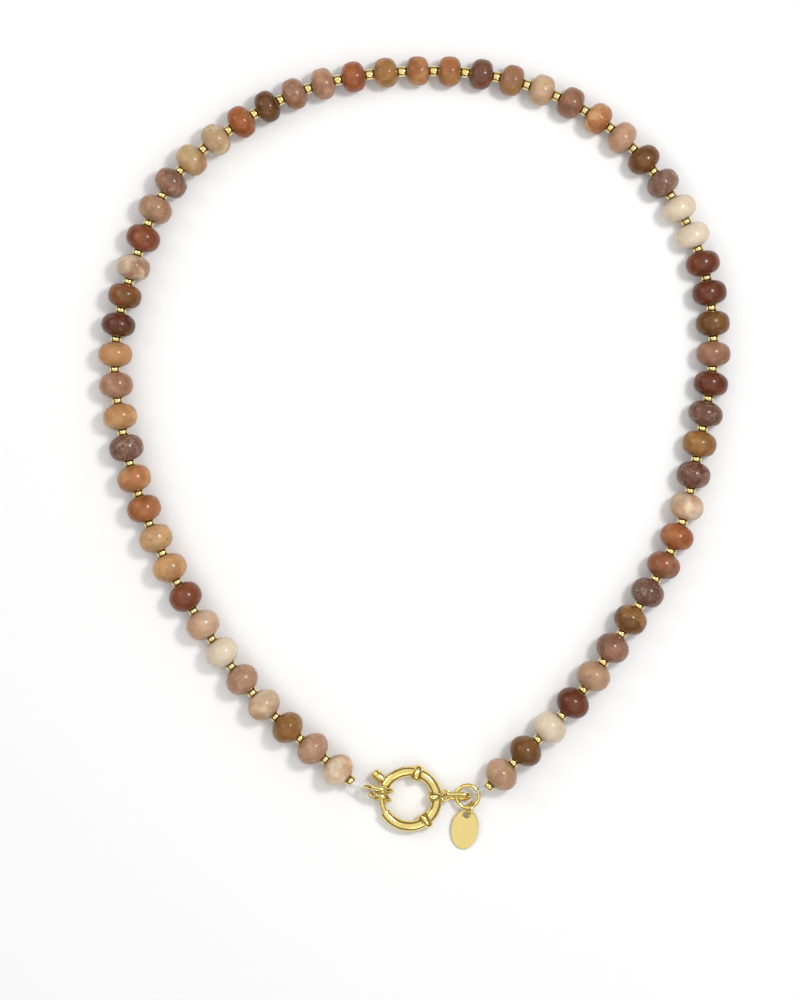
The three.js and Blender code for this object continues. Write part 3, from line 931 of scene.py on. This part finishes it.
def thread_loop(entry, crossings, wire_radius, left):
    """A belt round the ring wires that cross its plane at the given points and a small circle at
    the entry, in the plane of the way there and the part of left that is square to it."""
    along = unit(crossings.mean(axis=0) - entry)
    across = unit(left - along * (left @ along))
    ways = crossings - entry
    reach = wire_radius + PLAY + THREAD_RADIUS
    circles = np.column_stack([ways @ along, ways @ across, np.full(len(ways), reach)])
    circles = circles[np.argsort(circles[:, 1])]
    points = belt(np.vstack([[0, 0, 1.05 * THREAD_RADIUS], circles]))
    line = entry + points @ np.array([along, across])
    return closed_wire(line, np.cross(along, across), THREAD_RADIUS, THREAD_SIDES)


def ring_tip(name):
    """The middle of the ring's wire where it is farthest from the clasp."""
    first, _, _ = plane_of(RINGS[name]["lean"], RINGS[name]["turn"])
    return box_centre(name) - first * ring_size(name)[0]


def run_through():
    """The thread's tube through all the stones and beads, from one outer bead to the other."""
    knots = np.empty((2 * stone_count + 1, 3))
    knots[0::2] = spacer_places
    knots[1::2] = stone_places
    knots = np.vstack([left_entry, knots, right_entry])
    places = smooth_line(knots, np.linspace(0, len(knots) - 1, 4 * len(knots)))
    directions = unit(np.gradient(places, axis=0))
    radii = np.full(len(places), THREAD_RADIUS)
    radii[[0, -1]] = 0
    return skin(places, directions, radii, UP, THREAD_SIDES)


tips = np.array([ring_tip("end_ring_1"), ring_tip("end_ring_2")])
level_left = unit(np.cross(UP, tips[0] - left_entry))
ring_middle = box_centre("joining_ring")
towards = (right_entry - ring_middle) * (1, 1, 0)
hold = ring_middle + unit(towards) * ring_size("joining_ring")[0]
loops = [
    thread_loop(left_entry, tips, ring_size("end_ring_1")[1], level_left),
    thread_loop(right_entry, hold[None], ring_size("joining_ring")[1], UP),
]
strings = ["string_left", "string_right"]
new_piece("thread", [run_through(), *loops], clear_thread(), "root", strings)

# %% [markdown]
# ## Clasp tube
# The clasp is a bent round tube with a gap. On its outer side a slot lets the lever's neck travel.
# The skin is a plain tube whose seam lies on the outer side: where the slot is, the seam simply
# stands open, by half the slot's width to each side, and its ends are round. Solidify then gives
# the wall its thickness and Bevel breaks its rims.

# %% Clasp tube
TUBE_WALL = 0.33 * MM
TUBE_ENDS = (208.5, 513.0)
SLOT_ENDS = (98.8, 143.8)
SLOT_HALF = 0.57 * MM
TUBE_SIDES = 40
TUBE_STEPS = 90
SLOT_STEPS = 16
SLOT_END_STEPS = 9
RIM_WIDTH = 0.06 * MM
RIM_ANGLE = 50


def tube_angles():
    """Places along the tube in degrees, close together at the slot's round ends."""
    margin = np.degrees(SLOT_HALF / CLASP_RADIUS)
    ease = margin * (1 - np.cos(np.linspace(0, np.pi / 2, SLOT_END_STEPS)))
    first, last = SLOT_ENDS[0] + 360, SLOT_ENDS[1] + 360
    return np.concatenate([
        np.linspace(TUBE_ENDS[0], first - margin, TUBE_STEPS)[:-1],
        first - margin + ease,
        np.linspace(first, last, SLOT_STEPS)[1:-1],
        last + margin - ease[::-1],
        [TUBE_ENDS[1]],
    ])


def slot_opening(angles):
    """Half the slot's width at each place, as an angle round the tube: full between the slot's ends,
    and past them a half circle."""
    past = np.maximum(np.maximum(SLOT_ENDS[0] + 360 - angles, angles - SLOT_ENDS[1] - 360), 0)
    width = np.sqrt(np.maximum(SLOT_HALF**2 - (np.radians(past) * CLASP_RADIUS) ** 2, 0))
    return np.arcsin(np.minimum(width / TUBE_RADIUS, 1))


def tube_grid():
    angles = tube_angles()
    turn = np.radians(angles)[:, None]
    out = np.hstack([np.cos(turn), np.sin(turn), 0 * turn])
    direction = np.cross(UP, out)
    opening = slot_opening(angles)
    radii = np.full(len(angles), TUBE_RADIUS)
    return skin(
        clasp_centre + out * CLASP_RADIUS, direction, radii, UP, TUBE_SIDES,
        opening, 2 * np.pi - opening,
    )


tube = new_piece("clasp_tube", [tube_grid()], gold, "root", ["clasp_body"])
wall = tube.modifiers.new("wall", "SOLIDIFY")
wall.thickness = TUBE_WALL
wall.offset = -1
rims = tube.modifiers.new("rims", "BEVEL")
rims.width = RIM_WIDTH
rims.segments = 2
rims.angle_limit = np.radians(RIM_ANGLE)

# %% [markdown]
# ## Collars and eye
# Three egg-shaped collars stand across the tube, with their fat ends inside the ring. They are
# taller than they are wide, so that they stand proud of the tube all round. One of them ends in a
# small soldered eye, which the link passes through.

# %% Collars and eye
COLLAR = {"radius": 1.13 * MM, "inside": 1.7 * MM, "outside": 1.55 * MM}
COLLAR_ANGLES = (72.8, -52.5)
COLLAR_SIDES = 28

# A collar's height over its width
COLLAR_RISE = 3.5 / 2.26


def turned(outline, start, way, sides):
    """A turned solid: outline rows are the length along the way and the radius there."""
    along, radius = outline
    return skin(start + way * along[:, None], way, radius, UP, sides)


def egg(length, radius):
    """At t from 0 to pi the egg stands at length * (1 - cos t) / 2 along, with the radius
    sin(t)^0.45 * (1 - a quarter of the share along), scaled so that its widest is the radius."""
    t = np.linspace(0, np.pi, 27)
    share = (1 - np.cos(t)) / 2
    wide = np.maximum(np.sin(t), 0) ** 0.45 * (1 - share / 4)
    wide[[0, -1]] = 0
    return share * length, radius * wide / wide.max()


def collar_grid(angle, outside):
    start = polar(angle, CLASP_RADIUS - COLLAR["inside"])
    outline = egg(COLLAR["inside"] + outside, COLLAR["radius"])
    round_egg = turned(outline, start, outward(angle), COLLAR_SIDES)
    return clasp_centre + (round_egg - clasp_centre) * (1, 1, COLLAR_RISE)


def eye_grid():
    radius = (EYE["hole"] + EYE["wire"]) / 2
    angles = np.linspace(0, 2 * np.pi, 33)[:-1, None]
    circle = eye_place + radius * np.hstack([np.cos(angles), np.sin(angles), 0 * angles])
    return closed_wire(circle, UP, EYE["wire"] / 2, WIRE_SIDES)


collars = [collar_grid(angle, COLLAR["outside"]) for angle in COLLAR_ANGLES]
collars += [collar_grid(EYE["angle"], EYE["collar"]), eye_grid()]
new_piece("clasp_collars", collars, gold, "root", ["clasp_body"])

# %% [markdown]
# ## Clasp lever
# The lever is one bent bar inside the tube. Its tip closes the gap and enters the other end of the
# tube, and a neck through the slot carries the knob that the thumb pulls back.

# %% Clasp lever
TONGUE = {"radius": 0.57 * MM, "behind": 0.95 * MM, "beyond": 0.35 * MM, "rounding": 0.3 * MM}
TONGUE_SIDES = 24
TONGUE_STEPS = 40
NECK_RADIUS = 0.45 * MM
NECK_SIDES = 20
KNOB = {"angle": SLOT_ENDS[1], "radius": 1.05 * MM, "length": 2.3 * MM, "gap": 0.12 * MM}
KNOB_SIDES = 32


def tongue_grid():
    start = np.radians(KNOB["angle"]) - TONGUE["behind"] / CLASP_RADIUS
    end = np.radians(TUBE_ENDS[0]) + TONGUE["beyond"] / CLASP_RADIUS
    line = arc(clasp_centre, CLASP_RADIUS, start)
    length = (end - start) * CLASP_RADIUS
    return bar(line, length, TONGUE["radius"], UP, TONGUE_SIDES, TONGUE["rounding"], TONGUE_STEPS)


def knob_outline():
    """Shares of the knob's length and radius: a round-ended drum with a groove near its top."""
    knots = np.array([
        [0, 0], [0, 0.7], [0.03, 0.93], [0.12, 1], [0.55, 1], [0.6, 0.86], [0.66, 0.86],
        [0.71, 1], [0.85, 0.97], [0.94, 0.8], [1, 0.45], [1.01, 0],
    ])
    shares = smooth_line(knots, np.linspace(0, len(knots) - 1, 6 * len(knots)))
    radius = np.maximum(shares[:, 1], 0)
    radius[[0, -1]] = 0
    return shares[:, 0] * KNOB["length"], radius * KNOB["radius"]


def lever_grids():
    way = outward(KNOB["angle"])
    knob_start = TUBE_RADIUS + KNOB["gap"]
    neck = np.array([0, 0, 1, 1]) * (knob_start + NECK_RADIUS / 2)
    neck_outline = neck, np.array([0, 1, 1, 0]) * NECK_RADIUS
    seat = polar(KNOB["angle"], CLASP_RADIUS)
    knob = turned(knob_outline(), seat + way * knob_start, way, KNOB_SIDES)
    return [tongue_grid(), turned(neck_outline, seat, way, NECK_SIDES), knob]


new_piece("clasp_lever", lever_grids(), gold, "lever", ["clasp_lever"])

# %% [markdown]
# ## Tag
# The tag is a thin oval with a hole near one end and a softly rounded edge. It hangs by its hole on
# the small ring, and its tip rests on the table, so it slopes a little. Its skin runs once round the
# plate's section, from the hole's rim over the face to the outer rim and back underneath.

# %% Tag
# In millimetres and degrees
TAG = {"length": 8.2, "width": 5.5, "thickness": 0.5, "hole": 1.3, "rim": 0.48, "turn": -97}
TAG_DROP = 0.6
TAG_SIDE_PLAY = 0.12
TAG_ROUNDING = 0.16
TAG_CORNER_STEPS = 6
TAG_SIDES = 96


def oval_reach(angles):
    """How far the oval's edge is from the hole's centre at each angle. The ray meets the ellipse
    with the half axes a and b, whose middle is m along, where its quadratic equation says."""
    a, b = TAG["length"] / 2, TAG["width"] / 2
    m = a - TAG["rim"] - TAG["hole"] / 2
    c, s = np.cos(angles), np.sin(angles)
    square = (c / a) ** 2 + (s / b) ** 2
    linear = c * m / a**2
    return (linear + np.sqrt(linear**2 - square * ((m / a) ** 2 - 1))) / square


def tag_section():
    """Rows round the plate's section: share of the way from hole to edge, inset from the nearer
    one, and height. Each corner is a quarter circle."""
    quarter = np.linspace(0, np.pi / 2, TAG_CORNER_STEPS)
    inset, height = 1 - np.sin(quarter), np.cos(quarter)
    rounded = TAG_ROUNDING * np.column_stack([inset, height - 1])
    half = TAG["thickness"] / 2
    outer_top = np.column_stack([np.ones(TAG_CORNER_STEPS), rounded[:, 0], half + rounded[:, 1]])
    outer_low = outer_top[::-1] * (1, 1, -1)
    inner_low = outer_low[::-1] * (0, 1, 1)
    inner_top = outer_top[::-1] * (0, 1, 1)
    face = np.array([[0.05, 0, half], [0.5, 0, half], [0.95, 0, half]])
    under = face[::-1] * (1, 1, -1)
    rows = [inner_top, face, outer_top, outer_low, under, inner_low, inner_top[:1]]
    return np.concatenate(rows)


def lying_tag():
    """The tag in its own plane, in millimetres, with the hole's centre at 0."""
    v = np.linspace(0, 2 * np.pi, TAG_SIDES + 1)
    share, inset, height = tag_section().T[:, :, None]
    hole, edge = TAG["hole"] / 2, oval_reach(v)
    signed = np.where(share == 0, inset, np.where(share == 1, -inset, 0))
    reach = hole + share * (edge - hole) + signed
    return np.stack([reach * np.cos(v), reach * np.sin(v), height + 0 * reach], axis=-1)


def tag_grid():
    """The tag on its ring: the hole's centre is beside the wire, a little under its outermost place,
    and the slope is the one at which the lower edge of the tip touches the table."""
    ring = RINGS["tag_ring"]
    ring_radius, ring_wire = ring_size("tag_ring")
    hole = TAG["hole"] / 2
    level, steep, _ = plane_of(ring["lean"], ring["turn"])
    drop = TAG_DROP * MM
    heading = outward(TAG["turn"])
    aside = (hole - TAG_SIDE_PLAY) * MM - ring_wire
    place = box_centre("tag_ring") + level * np.sqrt(ring_radius**2 - drop**2) - steep * drop
    place = place + np.cross(heading, UP) * aside
    tip = TAG["length"] - TAG["rim"] - hole
    half = TAG["thickness"] / 2
    tilt = np.arcsin(place[2] / MM / np.hypot(tip, half)) - np.arctan(half / tip)
    slope = heading * np.cos(tilt) - UP * np.sin(tilt)
    side = np.cross(UP, heading)
    return place + MM * lying_tag() @ np.array([slope, side, np.cross(slope, side)])


new_piece("tag", [tag_grid()], satin, "root", ["tag"])
